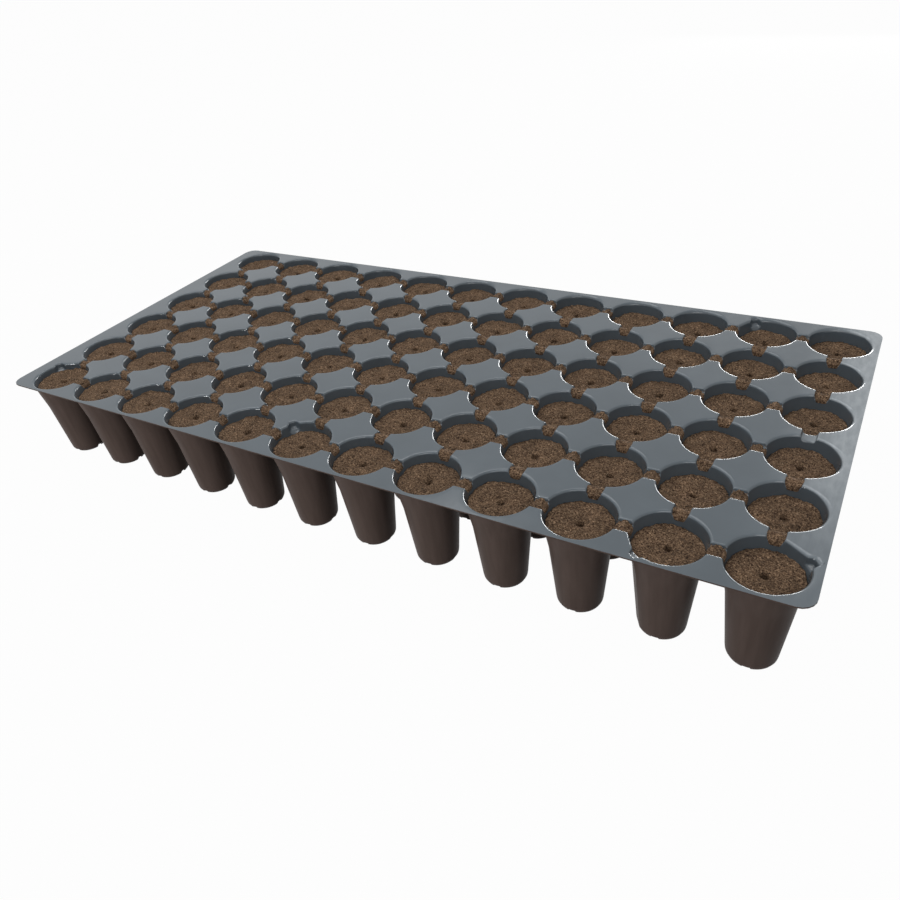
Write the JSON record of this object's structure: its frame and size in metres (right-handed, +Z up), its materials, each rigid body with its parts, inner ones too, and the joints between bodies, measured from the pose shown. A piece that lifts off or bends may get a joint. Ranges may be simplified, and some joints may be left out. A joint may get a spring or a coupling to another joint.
{
  "type": "plug tray",
  "caption": "Formed plastic plug tray with a grid of round tapered cells, joined by saddles, each filled with a plug of growing medium that lifts straight out.",
  "frame": {"origin": "under the middle of the tray, level with the undersides of the cell bases", "axes": "+X along the length towards column 12, +Y along the width towards row 6, +Z up"},
  "size_m": [0.54, 0.2626, 0.0606],
  "materials": {
    "deck_sheet": "satin slate-grey upper face of the formed sheet, with a soft sheen",
    "cell_sheet": "satin dark walls of the formed sheet, drawn thin",
    "growing_medium": "fibrous crumbly brown peat mix"
  },
  "bodies": {
    "tray": {"rim": "deck_sheet", "border_lands": "deck_sheet", "lands": "deck_sheet", "saddles_lengthwise": "deck_sheet", "saddles_crosswise": "deck_sheet", "crumbs": "growing_medium", "cups_col01": "cell_sheet", "cups_col02": "cell_sheet", "cups_col03": "cell_sheet", "cups_col04": "cell_sheet", "cups_col05": "cell_sheet", "cups_col06": "cell_sheet", "cups_col07": "cell_sheet", "cups_col08": "cell_sheet", "cups_col09": "cell_sheet", "cups_col10": "cell_sheet", "cups_col11": "cell_sheet", "cups_col12": "cell_sheet"},
    "plugs_col01_front": {"plugs_col01_front": "growing_medium"},
    "plugs_col01_middle": {"plugs_col01_middle": "growing_medium"},
    "plugs_col01_back": {"plugs_col01_back": "growing_medium"},
    "plugs_col02_front": {"plugs_col02_front": "growing_medium"},
    "plugs_col02_middle": {"plugs_col02_middle": "growing_medium"},
    "plugs_col02_back": {"plugs_col02_back": "growing_medium"},
    "plugs_col03_front": {"plugs_col03_front": "growing_medium"},
    "plugs_col03_middle": {"plugs_col03_middle": "growing_medium"},
    "plugs_col03_back": {"plugs_col03_back": "growing_medium"},
    "plugs_col04_front": {"plugs_col04_front": "growing_medium"},
    "plugs_col04_middle": {"plugs_col04_middle": "growing_medium"},
    "plugs_col04_back": {"plugs_col04_back": "growing_medium"},
    "plugs_col05_front": {"plugs_col05_front": "growing_medium"},
    "plugs_col05_middle": {"plugs_col05_middle": "growing_medium"},
    "plugs_col05_back": {"plugs_col05_back": "growing_medium"},
    "plugs_col06_front": {"plugs_col06_front": "growing_medium"},
    "plugs_col06_middle": {"plugs_col06_middle": "growing_medium"},
    "plugs_col06_back": {"plugs_col06_back": "growing_medium"},
    "plugs_col07_front": {"plugs_col07_front": "growing_medium"},
    "plugs_col07_middle": {"plugs_col07_middle": "growing_medium"},
    "plugs_col07_back": {"plugs_col07_back": "growing_medium"},
    "plugs_col08_front": {"plugs_col08_front": "growing_medium"},
    "plugs_col08_middle": {"plugs_col08_middle": "growing_medium"},
    "plugs_col08_back": {"plugs_col08_back": "growing_medium"},
    "plugs_col09_front": {"plugs_col09_front": "growing_medium"},
    "plugs_col09_middle": {"plugs_col09_middle": "growing_medium"},
    "plugs_col09_back": {"plugs_col09_back": "growing_medium"},
    "plugs_col10_front": {"plugs_col10_front": "growing_medium"},
    "plugs_col10_middle": {"plugs_col10_middle": "growing_medium"},
    "plugs_col10_back": {"plugs_col10_back": "growing_medium"},
    "plugs_col11_front": {"plugs_col11_front": "growing_medium"},
    "plugs_col11_middle": {"plugs_col11_middle": "growing_medium"},
    "plugs_col11_back": {"plugs_col11_back": "growing_medium"},
    "plugs_col12_front": {"plugs_col12_front": "growing_medium"},
    "plugs_col12_middle": {"plugs_col12_middle": "growing_medium"},
    "plugs_col12_back": {"plugs_col12_back": "growing_medium"}
  },
  "joints": [
    {"name": "lift_col01_front", "type": "slide", "parent": "tray", "child": "plugs_col01_front", "axis": [0, 0, 1], "range_m": [0, 0.065]},
    {"name": "lift_col01_middle", "type": "slide", "parent": "tray", "child": "plugs_col01_middle", "axis": [0, 0, 1], "range_m": [0, 0.065]},
    {"name": "lift_col01_back", "type": "slide", "parent": "tray", "child": "plugs_col01_back", "axis": [0, 0, 1], "range_m": [0, 0.065]},
    {"name": "lift_col02_front", "type": "slide", "parent": "tray", "child": "plugs_col02_front", "axis": [0, 0, 1], "range_m": [0, 0.065]},
    {"name": "lift_col02_middle", "type": "slide", "parent": "tray", "child": "plugs_col02_middle", "axis": [0, 0, 1], "range_m": [0, 0.065]},
    {"name": "lift_col02_back", "type": "slide", "parent": "tray", "child": "plugs_col02_back", "axis": [0, 0, 1], "range_m": [0, 0.065]},
    {"name": "lift_col03_front", "type": "slide", "parent": "tray", "child": "plugs_col03_front", "axis": [0, 0, 1], "range_m": [0, 0.065]},
    {"name": "lift_col03_middle", "type": "slide", "parent": "tray", "child": "plugs_col03_middle", "axis": [0, 0, 1], "range_m": [0, 0.065]},
    {"name": "lift_col03_back", "type": "slide", "parent": "tray", "child": "plugs_col03_back", "axis": [0, 0, 1], "range_m": [0, 0.065]},
    {"name": "lift_col04_front", "type": "slide", "parent": "tray", "child": "plugs_col04_front", "axis": [0, 0, 1], "range_m": [0, 0.065]},
    {"name": "lift_col04_middle", "type": "slide", "parent": "tray", "child": "plugs_col04_middle", "axis": [0, 0, 1], "range_m": [0, 0.065]},
    {"name": "lift_col04_back", "type": "slide", "parent": "tray", "child": "plugs_col04_back", "axis": [0, 0, 1], "range_m": [0, 0.065]},
    {"name": "lift_col05_front", "type": "slide", "parent": "tray", "child": "plugs_col05_front", "axis": [0, 0, 1], "range_m": [0, 0.065]},
    {"name": "lift_col05_middle", "type": "slide", "parent": "tray", "child": "plugs_col05_middle", "axis": [0, 0, 1], "range_m": [0, 0.065]},
    {"name": "lift_col05_back", "type": "slide", "parent": "tray", "child": "plugs_col05_back", "axis": [0, 0, 1], "range_m": [0, 0.065]},
    {"name": "lift_col06_front", "type": "slide", "parent": "tray", "child": "plugs_col06_front", "axis": [0, 0, 1], "range_m": [0, 0.065]},
    {"name": "lift_col06_middle", "type": "slide", "parent": "tray", "child": "plugs_col06_middle", "axis": [0, 0, 1], "range_m": [0, 0.065]},
    {"name": "lift_col06_back", "type": "slide", "parent": "tray", "child": "plugs_col06_back", "axis": [0, 0, 1], "range_m": [0, 0.065]},
    {"name": "lift_col07_front", "type": "slide", "parent": "tray", "child": "plugs_col07_front", "axis": [0, 0, 1], "range_m": [0, 0.065]},
    {"name": "lift_col07_middle", "type": "slide", "parent": "tray", "child": "plugs_col07_middle", "axis": [0, 0, 1], "range_m": [0, 0.065]},
    {"name": "lift_col07_back", "type": "slide", "parent": "tray", "child": "plugs_col07_back", "axis": [0, 0, 1], "range_m": [0, 0.065]},
    {"name": "lift_col08_front", "type": "slide", "parent": "tray", "child": "plugs_col08_front", "axis": [0, 0, 1], "range_m": [0, 0.065]},
    {"name": "lift_col08_middle", "type": "slide", "parent": "tray", "child": "plugs_col08_middle", "axis": [0, 0, 1], "range_m": [0, 0.065]},
    {"name": "lift_col08_back", "type": "slide", "parent": "tray", "child": "plugs_col08_back", "axis": [0, 0, 1], "range_m": [0, 0.065]},
    {"name": "lift_col09_front", "type": "slide", "parent": "tray", "child": "plugs_col09_front", "axis": [0, 0, 1], "range_m": [0, 0.065]},
    {"name": "lift_col09_middle", "type": "slide", "parent": "tray", "child": "plugs_col09_middle", "axis": [0, 0, 1], "range_m": [0, 0.065]},
    {"name": "lift_col09_back", "type": "slide", "parent": "tray", "child": "plugs_col09_back", "axis": [0, 0, 1], "range_m": [0, 0.065]},
    {"name": "lift_col10_front", "type": "slide", "parent": "tray", "child": "plugs_col10_front", "axis": [0, 0, 1], "range_m": [0, 0.065]},
    {"name": "lift_col10_middle", "type": "slide", "parent": "tray", "child": "plugs_col10_middle", "axis": [0, 0, 1], "range_m": [0, 0.065]},
    {"name": "lift_col10_back", "type": "slide", "parent": "tray", "child": "plugs_col10_back", "axis": [0, 0, 1], "range_m": [0, 0.065]},
    {"name": "lift_col11_front", "type": "slide", "parent": "tray", "child": "plugs_col11_front", "axis": [0, 0, 1], "range_m": [0, 0.065]},
    {"name": "lift_col11_middle", "type": "slide", "parent": "tray", "child": "plugs_col11_middle", "axis": [0, 0, 1], "range_m": [0, 0.065]},
    {"name": "lift_col11_back", "type": "slide", "parent": "tray", "child": "plugs_col11_back", "axis": [0, 0, 1], "range_m": [0, 0.065]},
    {"name": "lift_col12_front", "type": "slide", "parent": "tray", "child": "plugs_col12_front", "axis": [0, 0, 1], "range_m": [0, 0.065]},
    {"name": "lift_col12_middle", "type": "slide", "parent": "tray", "child": "plugs_col12_middle", "axis": [0, 0, 1], "range_m": [0, 0.065]},
    {"name": "lift_col12_back", "type": "slide", "parent": "tray", "child": "plugs_col12_back", "axis": [0, 0, 1], "range_m": [0, 0.065]}
  ]
}
